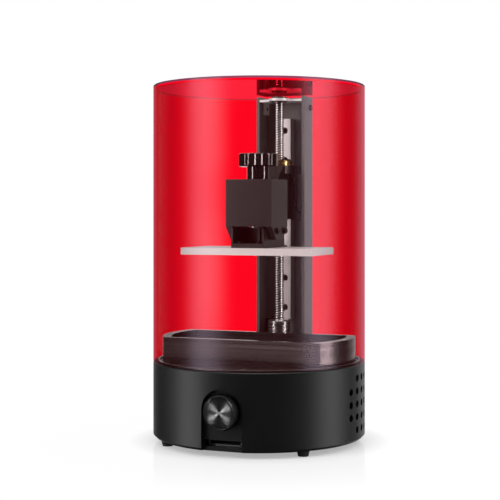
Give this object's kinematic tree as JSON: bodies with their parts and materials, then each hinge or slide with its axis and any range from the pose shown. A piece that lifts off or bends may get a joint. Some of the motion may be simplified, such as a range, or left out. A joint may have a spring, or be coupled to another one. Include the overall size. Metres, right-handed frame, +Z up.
{
  "type": "resin printer",
  "caption": "Round desktop resin 3-D printer: black base with a knob, tall clear red lift-off cover, vat, tower with lead screw and a build plate that travels up and down.",
  "frame": {"origin": "on the floor under the axis of the round base", "axes": "+Z up along the axis of the base and cover, -Y to the front with the control knob, +X to the printer's right as seen from the front"},
  "size_m": [0.17, 0.173, 0.2845],
  "materials": {
    "base_black": "matt black coat",
    "deck_black": "matt black coat",
    "floor_black": "matt black coat",
    "rubber": "matt",
    "screw_black": "black oxide",
    "screw_steel": "bright",
    "bracket_steel": "plain sheet",
    "board_green": "lacquered board",
    "black_plastic": "moulded",
    "encoder_plastic": "moulded",
    "knob_black": "smooth",
    "knob_metal": "spun, dark anodised",
    "gloss_black": "glossy",
    "screen": "glossy",
    "screen_glass": "clear",
    "film": "clear film",
    "sink_aluminium": "extruded",
    "spacer_brass": "turned",
    "motor_dark": "black lacquer with bright end caps",
    "steel": "ground",
    "coupler_aluminium": "turned",
    "tower_dark": "dark anodised",
    "top_plate_aluminium": "plain",
    "dark_aluminium": "black anodised",
    "plate_aluminium": "fine blasted",
    "vat_anodised": "black anodised, brushed",
    "red_acrylic": "clear red, polished"
  },
  "bodies": {
    "base": {"base_housing": "base_black", "bottom_plate": "floor_black", "rubber_feet": "rubber", "foot_screws": "screw_black", "deck_plate": "deck_black", "deck_screws": "screw_black", "front_bracket": "bracket_steel", "bracket_screws": "screw_steel", "control_board": "board_green", "encoder_body": "black_plastic", "card_socket": "bracket_steel", "power_inlet": "black_plastic", "screen_panel": "screen", "screen_glass": "screen_glass", "light_tunnel": "black_plastic", "lamp_board": "board_green", "heat_sink": "sink_aluminium", "main_board": "board_green", "board_spacers": "spacer_brass", "fan_frame": "black_plastic", "fan_bracket": "bracket_steel", "fan_screws": "screw_black", "z_motor": "motor_dark", "motor_screws": "screw_black", "tower_channel": "tower_dark", "tower_screws": "screw_steel", "top_screws": "screw_black", "top_plate": "top_plate_aluminium", "top_bearing": "steel", "linear_rail": "steel", "rail_screws": "screw_steel", "limit_switch": "black_plastic", "vat_body": "vat_anodised", "vat_film": "film", "film_ring": "deck_black", "vat_screws": "screw_steel"},
    "cover": {"cover_tube": "red_acrylic", "cover_top": "red_acrylic"},
    "lead": {"motor_shaft": "steel", "shaft_coupler": "coupler_aluminium", "lead_screw": "steel"},
    "carriage": {"carriage_block": "steel", "carriage_caps": "black_plastic", "z_arm": "dark_aluminium", "arm_screws": "screw_steel", "lead_nut": "spacer_brass", "platform_saddle": "dark_aluminium", "clamp_screws": "screw_black", "ball_retainer": "steel"},
    "platform": {"build_plate": "plate_aluminium", "joint_block": "dark_aluminium", "plate_screws": "screw_steel", "ball_stud": "steel"},
    "clamp_knob": {"platform_knob": "gloss_black"},
    "encoder": {"encoder_rotor": "encoder_plastic"},
    "knob": {"encoder_shaft": "steel", "control_knob": "knob_black", "knob_face": "knob_metal"},
    "fan": {"fan_rotor": "black_plastic"}
  },
  "joints": [
    {"name": "cover_lift", "type": "slide", "parent": "base", "child": "cover", "axis": [0, 0, 1], "range_m": [0, 0.22]},
    {"name": "z_travel", "type": "slide", "parent": "base", "child": "carriage", "axis": [0, 0, 1], "range_m": [-0.0814, 0.038]},
    {"name": "lead_turn", "type": "hinge", "parent": "base", "child": "lead", "pos_m": [0, 0.046, 0.1], "axis": [0, 0, 1], "continuous": true},
    {"name": "plate_level", "type": "hinge", "parent": "carriage", "child": "platform", "pos_m": [0, -0.002, 0.1792], "axis": [1, 0, 0], "range_deg": [-1, 1]},
    {"name": "clamp_turn", "type": "hinge", "parent": "carriage", "child": "clamp_knob", "pos_m": [0, -0.002, 0.2247], "axis": [0, 0, 1], "range_deg": [0, 540]},
    {"name": "knob_turn", "type": "hinge", "parent": "base", "child": "encoder", "pos_m": [0.0026, -0.072, 0.0341], "axis": [0, -1, 0], "continuous": true},
    {"name": "knob_press", "type": "slide", "parent": "encoder", "child": "knob", "axis": [0, 1, 0], "range_m": [0, 0.001], "stiffness_N_per_m": 4000, "springref_m": -0.0005},
    {"name": "fan_spin", "type": "hinge", "parent": "base", "child": "fan", "pos_m": [0.071, 0, 0.0342], "axis": [1, 0, 0], "continuous": true}
  ],
  "couplings": [
    {"joint": "lead_turn", "follows": "z_travel", "rad_per_m": -1570.8}
  ]
}
